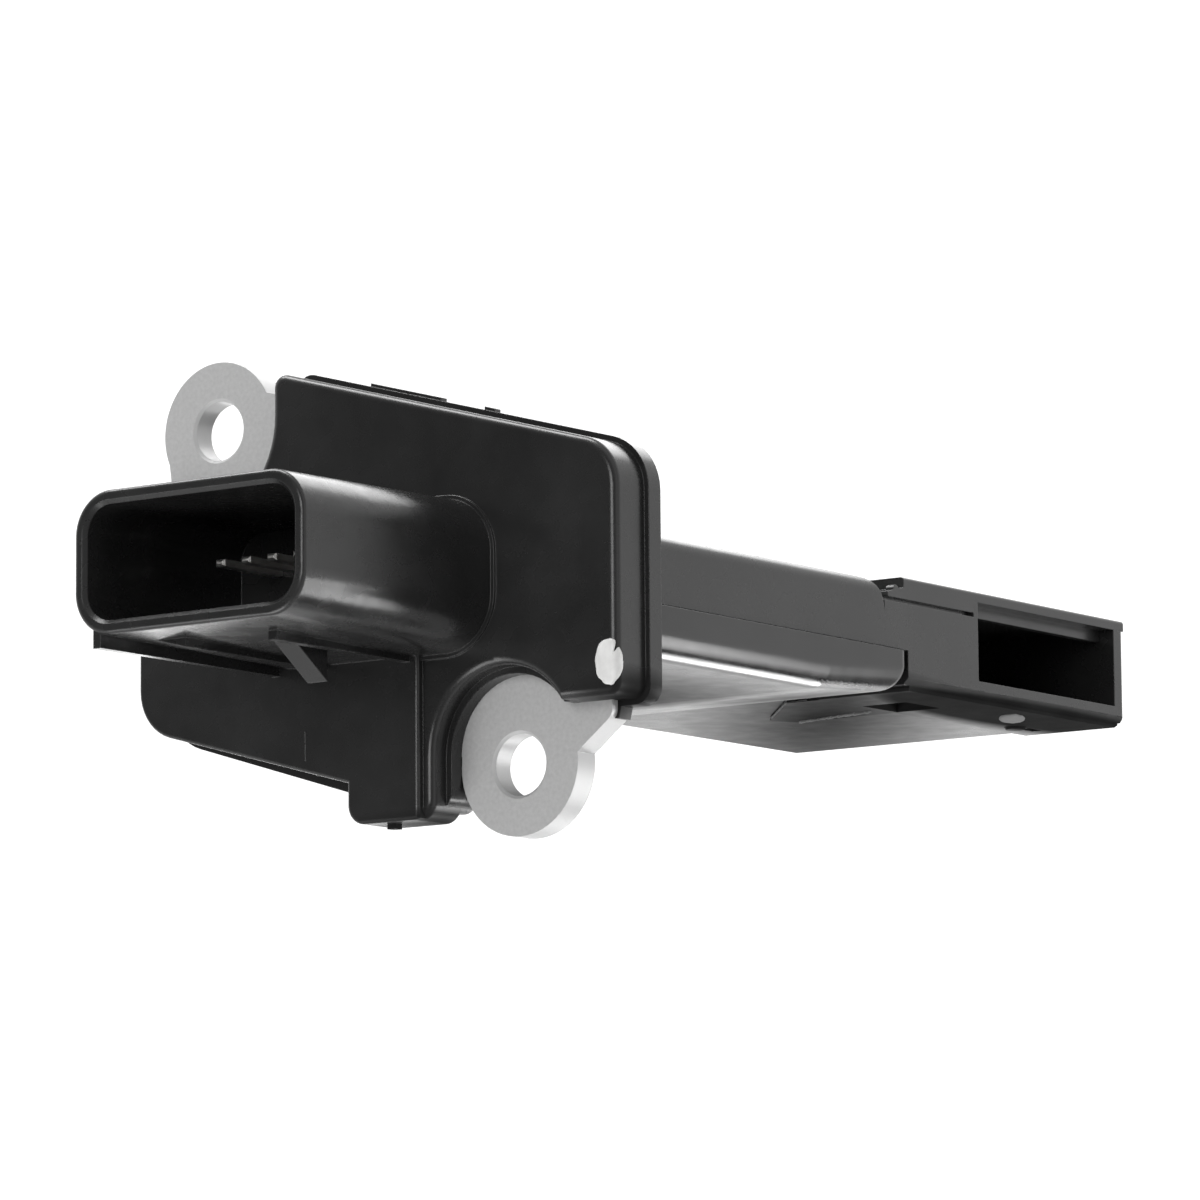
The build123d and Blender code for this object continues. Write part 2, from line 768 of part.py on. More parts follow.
def post_xs():
    """Places of the pairs of posts that carry the elements."""
    places = []
    for x in (hot_x, cold_x, thermistor_x):
        places += [x - post_gap / 2, x + post_gap / 2]
    return places


def post_tip_z():
    """Lower end of the posts in the return passage."""
    return return_high_z - post_reach


def element_post(x):
    """One square post from the module cavity into the air path."""
    high = cavity_end_z + post_overlap
    return block(x - post_side / 2, x + post_side / 2, post_y - post_side / 2, post_y + post_side / 2,
                 post_tip_z(), high)


def ribbon(x, start_y, start_z, end_z):
    """Thin strap, bent twice, that dips from a metal end and rises to the face of the board."""
    end_y = board_face_y()
    dip = min(start_y, end_y) - ribbon_dip
    reach = end_z - start_z
    across = ribbon_thickness if reach > 0 else -ribbon_thickness
    first_bend = start_z + reach * ribbon_bend_share
    second_bend = end_z - reach * ribbon_bend_share
    outer = [(start_y, start_z), (dip, first_bend), (dip, second_bend), (end_y, end_z)]
    inner = [(end_y, end_z - across), (dip + ribbon_thickness, second_bend - across),
             (dip + ribbon_thickness, first_bend + across), (start_y, start_z + across)]
    return side_prism(outer + inner, x - ribbon_width / 2, x + ribbon_width / 2)


def bond_ribbons():
    """Straps from the terminals and from the posts to the board."""
    high, low = board_ends()
    terminal_z = cavity_start_z - terminal_foot / 2
    post_z = cavity_end_z + post_overlap / 2
    straps = [ribbon(x, terminal_y - terminal_thickness / 2, terminal_z, high - ribbon_landing)
              for x in terminal_xs()]
    straps += [ribbon(x, post_y - post_side / 2, post_z, low + ribbon_landing) for x in post_xs()]
    return Compound(children=straps)


def across_posts(x, radius):
    """Place of a bar that lies across the tips of a pair of posts, its own axis along Z."""
    y = post_y - post_side / 2 - radius
    return Pos(x, y, post_tip_z() + radius + element_end_gap) * Rot(0, 90, 0)


def bar_between_posts(x, radius):
    """Round bar that lies across the tips of a pair of posts."""
    return across_posts(x, radius) * Cylinder(radius, post_gap + post_side)


def air_thermistor():
    """Glass bead on its two lead wires."""
    leads = Cylinder(lead_radius, post_gap + post_side)
    return across_posts(thermistor_x, lead_radius) * (leads + Sphere(thermistor_radius))


def gel(solids):
    """Soft gel that covers the module, with room for what it holds."""
    level = min(terminal_y, post_y) - terminal_thickness - ribbon_dip - gel_depth
    length = cavity_start_z - cavity_end_z
    face = Plane.XZ * RectangleRounded(2 * cavity_half_width, length, cavity_corner_radius)
    layer = Pos(0, level, (cavity_start_z + cavity_end_z) / 2) * extrude(
        face, cavity_top_y - level, dir=(0, 1, 0))
    for solid in solids:
        layer -= solid
    return layer


def housing(inserts):
    """The one large moulding of the sensor, moulded around its metal inserts."""
    solid = body_shell() + shroud() + stem() + arm() + tip()
    solid = solid - socket() - module_cavity()
    for insert in inserts:
        solid -= insert
    return solid


def all_parts():
    """Every piece by its name."""
    plate = mounting_plate()
    terminals = [terminal(x) for x in terminal_xs()]
    posts = [element_post(x) for x in post_xs()]
    module = {
        "heat_plate": heat_plate(),
        "circuit_board": circuit_board(),
        "signal_chip": signal_chip(),
        "heater_driver": heater_driver(),
        "capacitors": capacitors(),
        "bond_ribbons": bond_ribbons(),
    }
    pieces = {
        "housing": housing([plate] + terminals + posts),
        "mounting_plate": plate,
        "bypass_cover": bypass_cover(),
        "module_cover": module_cover(),
        "cover_adhesive": cover_adhesive(),
        "seal_ring": seal_ring(),
        "silicone_gel": gel(list(module.values()) + terminals + posts),
        "element_posts": Compound(children=posts),
        "hot_element": bar_between_posts(hot_x, element_radius),
        "cold_element": bar_between_posts(cold_x, element_radius),
        "air_thermistor": air_thermistor(),
    }
    pieces.update(module)
    for number, blade in enumerate(terminals, 1):
        pieces["terminal_%d" % number] = blade
    return pieces


os.makedirs("parts", exist_ok=True)
for name, shape in all_parts().items():
    export_step(shape, "parts/%s.step" % name)
    print(name, "solids", len(shape.solids()), "volume", round(shape.volume, 1))
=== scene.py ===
# %% [markdown]
# A mass airflow sensor, dressed for its picture
#
# The sensor is a dark moulded body on a metal plate. A six-way connector stands up from the body, and a
# flat probe with an air passage in its tip hangs below the plate. The solids come from the CAD model and
# stay as they are. This file adds what a solid can't carry: the finish of every surface, the small marks
# that moulding, stamping and handling leave, and a plain studio round the part.
#
# The script loads the solids first, because every later size and place is read from them.

# %% Load the solids
import math

import bmesh
import bpy
from mathutils import Matrix, Vector
from mathutils.bvhtree import BVHTree
from mathutils.noise import noise


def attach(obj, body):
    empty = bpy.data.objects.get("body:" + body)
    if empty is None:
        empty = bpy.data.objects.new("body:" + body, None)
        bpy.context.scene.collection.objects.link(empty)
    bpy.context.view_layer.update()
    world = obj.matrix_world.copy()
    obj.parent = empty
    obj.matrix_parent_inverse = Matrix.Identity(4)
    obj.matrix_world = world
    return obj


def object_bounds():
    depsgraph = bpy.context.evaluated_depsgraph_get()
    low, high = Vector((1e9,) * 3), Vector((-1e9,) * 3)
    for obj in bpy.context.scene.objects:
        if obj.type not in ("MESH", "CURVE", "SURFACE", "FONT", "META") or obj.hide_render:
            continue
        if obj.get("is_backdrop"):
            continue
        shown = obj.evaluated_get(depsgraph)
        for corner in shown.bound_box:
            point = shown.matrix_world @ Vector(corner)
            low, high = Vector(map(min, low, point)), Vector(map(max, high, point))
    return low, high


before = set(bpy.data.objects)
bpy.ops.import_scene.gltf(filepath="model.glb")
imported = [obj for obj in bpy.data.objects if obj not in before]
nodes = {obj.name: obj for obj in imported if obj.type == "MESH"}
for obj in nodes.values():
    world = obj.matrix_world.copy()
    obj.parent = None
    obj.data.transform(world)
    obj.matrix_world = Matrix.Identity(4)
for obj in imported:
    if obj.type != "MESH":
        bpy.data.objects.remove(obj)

cad_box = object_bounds()
mm = 0.001
cad_sides = [round((high - low) / mm, 1) for low, high in zip(*cad_box)]
print("nodes:", len(nodes), "size in mm:", cad_sides)

# %% [markdown]
# The camera
#
# The photo was taken from above and to one side, so that the connector's mouth, the body's face and the
# long probe all show. A camera in Blender could be aimed by hand until the picture looks right. Here it
# is worked out instead: two turns, a small roll, a distance and a sideways shift were fitted to corners
# of the part in the photo. A long lens from over half a metre keeps the edges almost parallel.

# %% Place the camera
photo_side = 1200
focal_in_pixels = 6500
sensor_width = 36
turn_to_side = math.radians(35.994)
tilt_down = math.radians(8.130)
roll = math.radians(-0.460)
camera_distance = 564.154 * mm
shift_right = -18.782 * mm
shift_up = 0.226 * mm


def camera_axes():
    """Directions to the right, up and back towards the camera, in the part's frame."""
    right = Vector((math.cos(turn_to_side), 0, -math.sin(turn_to_side)))
    back = Vector((
        math.sin(turn_to_side) * math.cos(tilt_down),
        -math.sin(tilt_down),
        math.cos(turn_to_side) * math.cos(tilt_down),
    ))
    up = back.cross(right)
    rolled_right = math.cos(roll) * right + math.sin(roll) * up
    rolled_up = math.cos(roll) * up - math.sin(roll) * right
    return rolled_right, rolled_up, back


right, up, back = camera_axes()
eye = camera_distance * back - shift_right * right - shift_up * up
camera_data = bpy.data.cameras.new("photo_camera")
camera_data.sensor_width = sensor_width
camera_data.sensor_fit = "HORIZONTAL"
camera_data.lens = sensor_width * focal_in_pixels / photo_side
camera_data.clip_start = 0.01
camera_data.clip_end = 50
camera = bpy.data.objects.new("photo_camera", camera_data)
bpy.context.scene.collection.objects.link(camera)
camera.matrix_world = Matrix.Translation(eye) @ Matrix((right, up, back)).transposed().to_4x4()
bpy.context.scene.camera = camera
print("camera lens", camera_data.lens, "mm at", [round(side, 3) for side in eye])

# %% [markdown]
# Small helpers for shader nodes
#
# A finish in Blender is a tree of nodes. Written out in full, each node takes several lines, and the idea
# of the finish gets lost. One helper that makes a node, sets it and links it keeps a recipe readable.
# The texture coordinates come from the part itself, in millimetres, so a grain of 0.5 means half a
# millimetre on the real object.

# %% Node helpers
def put(tree, kind, inputs=None, **settings):
    """Add a shader node, set its options, and give its inputs a value or a link."""
    made = tree.nodes.new("ShaderNode" + kind)
    for name, value in settings.items():
        setattr(made, name, value)
    for name, value in (inputs or {}).items():
        if isinstance(value, bpy.types.NodeSocket):
            tree.links.new(value, made.inputs[name])
        else:
            made.inputs[name].default_value = value
    return made


def start_finish(name, **plain):
    """A new material with its tree and its main shader, with the given plain values set.

    An underscore in the name of a value stands for the space in the name of the shader's input.
    """
    material = bpy.data.materials.new(name)
    material.use_nodes = True
    tree = material.node_tree
    shader = tree.nodes["Principled BSDF"]
    for socket, value in plain.items():
        shader.inputs[socket.replace("_", " ")].default_value = value
    return material, tree, shader


def part_millimetres(tree, stretch=(1, 1, 1)):
    """The surface's place on the part, in millimetres, stretched where a grain has a direction."""
    place = put(tree, "TexCoord").outputs["Object"]
    factors = [side / mm for side in stretch]
    return put(tree, "Mapping", {"Vector": place, "Scale": factors}).outputs["Vector"]


def blotches(tree, place, size, detail=2.0, roughness=0.5):
    """Soft noise from 0 to 1 whose blotches are about `size` millimetres."""
    inputs = {"Vector": place, "Scale": 1 / size, "Detail": detail, "Roughness": roughness}
    return put(tree, "TexNoise", inputs).outputs["Fac"]


def spread(tree, value, low, high, start=0.3, end=0.7):
    """Take a value between start and end to the range low to high."""
    inputs = {"Value": value, "From Min": start, "From Max": end, "To Min": low, "To Max": high}
    return put(tree, "MapRange", inputs).outputs["Result"]


def shades(tree, value, *stops):
    """A colour that runs through the given (place, grey or colour) stops."""
    ramp = put(tree, "ValToRGB", {"Fac": value})
    while len(ramp.color_ramp.elements) < len(stops):
        ramp.color_ramp.elements.new(1.0)
    for element, (place, tone) in zip(ramp.color_ramp.elements, stops):
        element.position = place
        element.color = (*tone, 1) if isinstance(tone, tuple) else (tone, tone, tone, 1)
    return ramp.outputs["Color"]


def relief(tree, height, depth, strength=1.0, normal=None):
    """Bump of the given depth in millimetres, on top of an earlier normal if there is one."""
    inputs = {"Height": height, "Distance": depth * mm, "Strength": strength}
    if normal is not None:
        inputs["Normal"] = normal
    return put(tree, "Bump", inputs).outputs["Normal"]


def soft_patch(tree, middle, half_sizes, turn=0.0):
    """1 at the given place on the part, falling to 0 at the given distances, all in millimetres.

    The patch may be turned about the Y axis, by degrees.
    """
    inputs = {
        "Vector": put(tree, "TexCoord").outputs["Object"],
        "Location": [side * mm for side in middle],
        "Rotation": (0, math.radians(turn), 0),
        "Scale": [side * mm for side in half_sizes],
    }
    place = put(tree, "Mapping", inputs, vector_type="TEXTURE").outputs["Vector"]
    return put(tree, "TexGradient", {"Vector": place}, gradient_type="SPHERICAL").outputs["Fac"]


def broken_edge(tree, radius):
    """A normal that rounds each sharp edge by the given radius in millimetres."""
    return put(tree, "Bevel", {"Radius": radius * mm}, samples=4).outputs["Normal"]


# %% [markdown]
# The floor
#
# The part is shown alone on white. A white cut-out would do for a flat picture, but gloss on dark
# plastic lives from what it mirrors: the sides of this part look grey only because a white floor lies
# below them. So the floor is a real pale sheet, well below the part. It adds a little glow of its own
# for the camera and for mirrored rays, which takes it to white where nothing shades it and still lets a
# shadow show.
#
# On the near side, outside the picture, a black card lies on the floor. In the photo the lower chamfers
# and the foot stay dark, so nothing white can have lain where they look.

# %% Lay the floor
floor_drop = 0.36
floor_reach = 6.0
floor_tone = 0.82
floor_cloud = 0.015
floor_cloud_size = 400.0
floor_glow = 0.42
card_span_x = (-0.05, 0.22)
card_span_y = (-0.55, -0.19)


def floor_finish():
    """Pale matt sheet with a glow that shows only directly, in a mirror or through a clear body."""
    material, tree, shader = start_finish("pale_floor", Roughness=0.9, Specular_IOR_Level=0.0)
    cloud = blotches(tree, part_millimetres(tree), floor_cloud_size)
    tone = shades(tree, cloud, (0.3, floor_tone - floor_cloud), (0.7, floor_tone))
    tree.links.new(tone, shader.inputs["Base Color"])
    rays = put(tree, "LightPath").outputs
    direct = put(tree, "Math", {0: rays["Is Camera Ray"], 1: rays["Is Glossy Ray"]}, operation="MAXIMUM")
    passed = {0: direct.outputs[0], 1: rays["Is Transmission Ray"]}
    seen = put(tree, "Math", passed, operation="MAXIMUM")
    glow = put(tree, "Math", {0: seen.outputs[0], 1: floor_glow}, operation="MULTIPLY")
    shader.inputs["Emission Color"].default_value = (1, 1, 1, 1)
    tree.links.new(glow.outputs[0], shader.inputs["Emission Strength"])
    return material


def card_finish():
    """Black card with faint fibres."""
    material, tree, shader = start_finish("black_card", Roughness=0.9)
    fibres = blotches(tree, part_millimetres(tree), 3.0, detail=4.0)
    tree.links.new(shades(tree, fibres, (0.3, 0.015), (0.7, 0.03)), shader.inputs["Base Color"])
    return material


def flat_sheet(name, span_x, span_y, height, finish):
    """A sheet of the studio that lies level at the given height."""
    (x0, x1), (y0, y1) = span_x, span_y
    corners = [(x0, y0, height), (x1, y0, height), (x1, y1, height), (x0, y1, height)]
    mesh = bpy.data.meshes.new(name)
    mesh.from_pydata(corners, [], [(0, 1, 2, 3)])
    mesh.materials.append(finish)
    sheet = bpy.data.objects.new(name, mesh)
    bpy.context.scene.collection.objects.link(sheet)
    sheet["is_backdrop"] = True
    return sheet


floor_height = cad_box[0].z - floor_drop
floor_span = (-floor_reach, floor_reach)
flat_sheet("floor", floor_span, floor_span, floor_height, floor_finish())
flat_sheet("black_card", card_span_x, card_span_y, floor_height + mm, card_finish())
print("floor at", round(floor_height, 3), "m")

# %% [markdown]
# The sky and the large lamps
#
# The plate and the plastic ask for different things. The body's face points up and mirrors the room
# above, and in the photo it stays almost black, so the ceiling has to be dim. The sides mirror the floor
# and the walls, which are bright. One even white sky would turn the black plastic grey. So the sky runs
# from white at the horizon to dim overhead. Three large lamps stand where the body's face doesn't mirror
# them to the camera: the key lamp high above, the fill lamp on the near left, and the back lamp level
# with the plate on its far side, where it draws the bright line along the body's top edge.

# %% Hang the sky and the large lamps
horizon_tone = 0.95
middle_tone = 0.5
overhead_tone = 0.16


def hang_sky():
    """A sky that goes from white at the horizon to dim overhead."""
    world = bpy.data.worlds.new("studio")
    bpy.context.scene.world = world
    world.use_nodes = True
    tree = world.node_tree
    direction = put(tree, "TexCoord").outputs["Generated"]
    height = put(tree, "SeparateXYZ", {"Vector": direction}).outputs["Z"]
    tone = shades(tree, height, (0.15, horizon_tone), (0.45, middle_tone), (0.75, overhead_tone))
    tree.links.new(tone, tree.nodes["Background"].inputs["Color"])


def soft_lamp(name, place, width, height, brightness, target=(0, 0, 0)):
    """A rectangular lamp that faces the target; its brightness is what a mirror would show of it."""
    data = bpy.data.lights.new(name, "AREA")
    data.shape = "RECTANGLE"
    data.size = width
    data.size_y = height
    data.energy = brightness * math.pi * width * height
    lamp = bpy.data.objects.new(name, data)
    bpy.context.scene.collection.objects.link(lamp)
    facing = (Vector(place) - Vector(target)).to_track_quat("Z", "Y").to_matrix().to_4x4()
    lamp.matrix_world = Matrix.Translation(place) @ facing
    lamp.visible_camera = False
    return lamp


hang_sky()
large_lamps = [
    soft_lamp("key_lamp", (0.26, 0.20, 1.18), width=0.7, height=0.5, brightness=5.0),
    soft_lamp("fill_lamp", (-0.45, -0.80, 0.75), width=0.8, height=0.6, brightness=4.0),
    soft_lamp("back_lamp", (-0.27, 0.65, 0.03), width=0.5, height=0.26, brightness=9.0),
]
bpy.context.scene.view_settings.view_transform = "Standard"
print("large lamps in watts:", {lamp.name: round(lamp.data.energy, 2) for lamp in large_lamps})

# %% [markdown]
# The streaks
#
# The photo shows narrow bright streaks along the rounded edges of the shroud and of the module cover. A
# streak could be painted on, but then it would stay in place when the part is turned. A rounded edge
# mirrors one narrow direction, so each streak tells where something bright stood. Four small soft boxes
# below the part stand in those directions, worked out from the way the surface points at the streak. The
# camera doesn't see them, and little else than the rounded edges finds them. The boxes for the shroud's
# low edge and for the cover stand near the part, because then each is out of the other edge's mirror.

# %% Set the streak boxes
near = 0.25
far = 0.42


def streak_lamp(name, edge, facing, distance, width, height, brightness):
    """A small soft box where the camera sees it mirrored at the edge.

    The edge is a point in millimetres. Its surface faces away at an angle from +X towards +Y.
    """
    start = mm * Vector(edge)
    normal = Vector((math.cos(math.radians(facing)), math.sin(math.radians(facing)), 0))
    mirrored = 2 * normal.dot(back) * normal - back
    return soft_lamp(name, start + distance * mirrored, width, height, brightness, start)


streaks = [
    streak_lamp("shroud_top_streak", (14, 6, 22), 47, far, width=0.27, height=0.11, brightness=3.2),
    streak_lamp("shroud_low_streak", (15, -2, 20), -25, near, width=0.135, height=0.06, brightness=7.5),
    streak_lamp("cover_edge_streak", (18, -5, -36), -61, near, width=0.085, height=0.04, brightness=12.0),
    streak_lamp("mouth_streak", (-4, -6, 27), -90, near, width=0.06, height=0.04, brightness=4.0),
]
print("streak boxes at", [[round(side, 2) for side in lamp.matrix_world.translation] for lamp in streaks])

# %% [markdown]
# Where the plastic is dull
#
# The underside is seen at a very flat angle, where any plastic mirrors the floor like glass. In the photo
# a slanting band across it, the raised pad, the middle and the end of the module cover, the bottom of the
# foot and a corner of the body are darker than the rest. One gloss for all of it would leave them white,
# and a painted dark tone would not help, because the white is a mirrored one. So soft patches mark the
# dull places. Each is a middle and half sizes in millimetres and a turn in degrees, then how dull it gets,
# and the share of its reach that is evenly dull.

# %% Dull patches
def dulled(tree, patches):
    """The strongest of several soft patches, from 0 for full gloss to 1."""
    dull = None
    for middle, half_sizes, turn, dullest, even_share in patches:
        fade = soft_patch(tree, middle, half_sizes, turn)
        patch = spread(tree, fade, 0.0, dullest, 0.0, 1.0 - even_share)
        if dull is None:
            dull = patch
        else:
            dull = put(tree, "Math", {0: dull, 1: patch}, operation="MAXIMUM").outputs[0]
    return dull


housing_patches = {
    "slanting band": ((-2, -4.4, -70.8), (15.5, 2.2, 80), 36, 1.0, 0.0),
    "raised pad": ((17, -4.35, -76), (9, 1.2, 34), 0, 0.88, 0.6),
    "foot bottom": ((8, -20.8, 3), (14, 1.6, 7), 0, 1.0, 0.0),
    "body corner": ((28.5, -11.5, 3), (5, 3, 6), 0, 1.0, 0.0),
}
cover_patches = {
    "middle": ((0, -5.6, -28), (19, 0.8, 32), 0, 1.0, 0.0),
    "end": ((9, -5.2, -51), (13, 1.0, 10), 0, 1.0, 0.0),
}
print("dull patches:", len(housing_patches), "on the housing,", len(cover_patches), "on the covers")

# %% [markdown]
# The moulded plastic
#
# Body, shroud, probe and covers are glass-filled nylon, moulded almost black and slightly glossy. The
# colour could be one dark value, but a real moulding is a little cloudy where the melt flowed, and its
# gloss differs where the tool was polished or worn. So a coarse noise shifts the tone, another one the
# gloss, and two fine reliefs give the skin: a grain of a sixth of a millimetre, and a faint wave that
# bends reflections. Edges are rounded about a tenth of a millimetre by the shader, because no moulded
# edge is a knife edge.
#
# In the dull patches the plastic gets rougher and its shine falls. At a flat angle even a weak shine
# mirrors a lot, so the shine falls with the third power of the patch, which looks even to the eye.

# %% Plastic finish
full_shine = 0.5
shine_power = 3.0
dull_roughness = 0.3
cloud_size = 7.0
wear_size = 2.2
wave_size, wave_depth = 9.0, 0.03
grain_size, grain_depth = 0.16, 0.004
moulded_edge = 0.12


def moulded_plastic(name, tone, gloss_low, gloss_high, patches):
    """Dark moulded plastic, a little cloudy, with a fine grain."""
    material, tree, shader = start_finish(name, IOR=1.5)
    place = part_millimetres(tree)
    cloud = blotches(tree, place, cloud_size, detail=3.0)
    tree.links.new(shades(tree, cloud, (0.3, tone * 0.8), (0.7, tone * 1.25)), shader.inputs["Base Color"])
    wear = blotches(tree, place, wear_size, detail=4.0)
    dull = dulled(tree, patches)
    gloss = spread(tree, wear, gloss_low, gloss_high)
    added = spread(tree, dull, 0.0, dull_roughness, 0.0, 1.0)
    rougher = put(tree, "Math", {0: gloss, 1: added}, operation="ADD")
    tree.links.new(rougher.outputs[0], shader.inputs["Roughness"])
    rounded = broken_edge(tree, moulded_edge)
    wave = relief(tree, blotches(tree, place, wave_size), wave_depth, 0.4, rounded)
    grain = relief(tree, blotches(tree, place, grain_size, detail=3.0), grain_depth, 0.4, wave)
    tree.links.new(grain, shader.inputs["Normal"])
    polish = put(tree, "Math", {0: 1.0, 1: dull}, operation="SUBTRACT").outputs[0]
    shine = put(tree, "Math", {0: polish, 1: shine_power}, operation="POWER").outputs[0]
    tree.links.new(spread(tree, shine, 0.0, full_shine, 0.0, 1.0), shader.inputs["Specular IOR Level"])
    return material


housing_plastic = moulded_plastic("housing_plastic", 0.016, 0.23, 0.3, housing_patches.values())
cover_plastic = moulded_plastic("cover_plastic", 0.018, 0.2, 0.27, cover_patches.values())
print("plastic finishes:", housing_plastic.name, cover_plastic.name)

# %% [markdown]
# The stamped plate
#
# The two ears are stamped metal with a fine blasted face, and their cut edges shine. A brushed
# metal with one roughness would look like a kitchen sink. The face and the cut edge are told apart by
# the way the surface points: where it points up or down it is the matt face, and where it points
# sideways it is the sheared wall, with streaks that run through the thickness as a punch leaves them.
# The blasted face scatters light almost as paint does, so only a quarter of it is a metal's mirror.

# %% Plate finish
wall_until, face_from = 0.35, 0.9
wall_roughness, face_roughness = 0.45, 0.6
speckle_size = 0.35
blast_size, blast_depth = 0.14, 0.012
punch_stretch = (3, 3, 0.2)
punch_size, punch_depth = 0.5, 0.02
stamped_edge = 0.1


def stamped_metal(name):
    """Blasted flat faces and smoother cut edges, told apart by the way the surface points."""
    material, tree, shader = start_finish(name, Metallic=0.25)
    place = part_millimetres(tree)
    normal = put(tree, "NewGeometry").outputs["Normal"]
    upward = put(tree, "SeparateXYZ", {"Vector": normal}).outputs["Z"]
    upward = put(tree, "Math", {0: upward}, operation="ABSOLUTE").outputs[0]
    speckle = blotches(tree, place, speckle_size, detail=4.0)
    face = spread(tree, speckle, 0.0, 0.16)
    wall = spread(tree, upward, 1.0, 0.25, wall_until, face_from)
    tone = put(tree, "Math", {0: face, 1: wall}, operation="ADD").outputs[0]
    tree.links.new(shades(tree, tone, (0.2, 0.46), (0.45, 0.56), (1.0, 0.58)), shader.inputs["Base Color"])
    roughness = spread(tree, upward, wall_roughness, face_roughness, wall_until, face_from)
    tree.links.new(roughness, shader.inputs["Roughness"])
    punched = blotches(tree, part_millimetres(tree, punch_stretch), punch_size)
    worn = relief(tree, punched, punch_depth, 0.4, broken_edge(tree, stamped_edge))
    blasted = relief(tree, blotches(tree, place, blast_size, detail=3.0), blast_depth, 0.6, worn)
    tree.links.new(blasted, shader.inputs["Normal"])
    return material


plate_metal = stamped_metal("plate_metal")
print("plate finish:", plate_metal.name)

# %% [markdown]
# Terminals, seal and the parts inside
#
# The terminals are tinned brass, drawn and cut, so fine lines run along them. The seal is soft black
# rubber with a bloom of dust. The gel is clear-grey silicone, which lets light in a little way, and the
# bead of adhesive round the module cover is a black one, so the seam hardly shows. The board is white
# ceramic, its chips are matt black, and the straps are bright aluminium. Each could be one colour, but
# they are seen close up through openings, so each gets its own grain.

# %% Small finishes
line_size, line_depth = 0.5, 0.01
drawn_edge = 0.05
cloud_in_grains = 6


def drawn_metal(name, dark, bright, gloss, lines=(6, 6, 0.3)):
    """Metal with fine lines along its length: the stretch says which way they run."""
    material, tree, shader = start_finish(name, Metallic=1.0)
    drawn = blotches(tree, part_millimetres(tree, lines), line_size, detail=3.0)
    tree.links.new(shades(tree, drawn, (0.3, dark), (0.7, bright)), shader.inputs["Base Color"])
    tree.links.new(spread(tree, drawn, gloss * 0.8, gloss * 1.3), shader.inputs["Roughness"])
    fine = relief(tree, drawn, line_depth, 0.4, broken_edge(tree, drawn_edge))
    tree.links.new(fine, shader.inputs["Normal"])
    return material


def soft_material(name, dark, light, grain, depth, roughness, soft=0.0):
    """Rubber, gel, ceramic, chips or paint: a cloudy tone, a grain and its depth in millimetres."""
    material, tree, shader = start_finish(name, Roughness=roughness, Subsurface_Weight=soft)
    if soft:
        shader.inputs["Subsurface Radius"].default_value = (1, 1, 1)
        shader.inputs["Subsurface Scale"].default_value = 0.4 * mm
    place = part_millimetres(tree)
    cloud = blotches(tree, place, grain * cloud_in_grains, detail=4.0)
    tree.links.new(shades(tree, cloud, (0.3, dark), (0.7, light)), shader.inputs["Base Color"])
    fine = relief(tree, blotches(tree, place, grain, detail=3.0), depth, 0.5)
    tree.links.new(fine, shader.inputs["Normal"])
    return material


tinned_brass = drawn_metal("tinned_brass", (0.84, 0.83, 0.8), (0.97, 0.96, 0.93), 0.45)
rolled_aluminium = drawn_metal("rolled_aluminium", (0.5, 0.5, 0.5), (0.66, 0.66, 0.66), 0.4, (0.3, 6, 6))
bright_ribbon = drawn_metal("bright_ribbon", (0.75, 0.75, 0.74), (0.9, 0.9, 0.89), 0.22, (0.4, 8, 8))
seal_rubber = soft_material("seal_rubber", (0.012, 0.012, 0.012), (0.03, 0.03, 0.029), 0.12, 0.01, 0.6)
silicone = soft_material("silicone", (0.42, 0.42, 0.4), (0.52, 0.52, 0.5), 0.6, 0.02, 0.25, 0.4)
black_adhesive = soft_material("black_adhesive", (0.02, 0.02, 0.02), (0.03, 0.03, 0.03), 0.3, 0.02, 0.75)
sensing_glass = soft_material("sensing_glass", (0.5, 0.44, 0.34), (0.66, 0.6, 0.5), 0.08, 0.004, 0.15)
board_ceramic = soft_material("board_ceramic", (0.62, 0.62, 0.58), (0.74, 0.74, 0.7), 0.1, 0.004, 0.55)
chip_plastic = soft_material("chip_plastic", (0.012, 0.012, 0.013), (0.026, 0.026, 0.027), 0.08, 0.006, 0.5)
print("finishes so far:", sorted(material.name for material in bpy.data.materials))

# %% [markdown]
# Dressing the solids
#
# Each CAD node takes one finish. The names of the nodes say what they are, so a table from node to
# finish is enough, and a node that the table forgot stops the script at once.

# %% Give each node its finish
finishes = {
    "housing": housing_plastic,
    "mounting_plate": plate_metal,
    "bypass_cover": cover_plastic,
    "module_cover": cover_plastic,
    "cover_adhesive": black_adhesive,
    "seal_ring": seal_rubber,
    "silicone_gel": silicone,
    "element_posts": tinned_brass,
    "hot_element": sensing_glass,
    "cold_element": sensing_glass,
    "air_thermistor": sensing_glass,
    "heat_plate": rolled_aluminium,
    "circuit_board": board_ceramic,
    "signal_chip": chip_plastic,
    "heater_driver": chip_plastic,
    "capacitors": sensing_glass,
    "bond_ribbons": bright_ribbon,
}
terminals = sorted(name for name in nodes if name.startswith("terminal_"))
finishes.update((name, tinned_brass) for name in terminals)
for name, node in nodes.items():
    node.data.materials.clear()
    node.data.materials.append(finishes[name])
print("dressed", len(finishes), "nodes,", len(terminals), "of them terminals")

# %% [markdown]
# Finding a place on the part from the photo
#
# Some marks are too small for the solids: a dab of marking paint, a parting line, a blob of flash. Their
# places are known from the photo, as pixels. A mark could be set by guessing a height, but then it would
# float or sink when the part is seen from another side. Instead a ray goes from the camera through the
# pixel, and the mark is laid where the ray meets the plastic, along the surface's own normal.

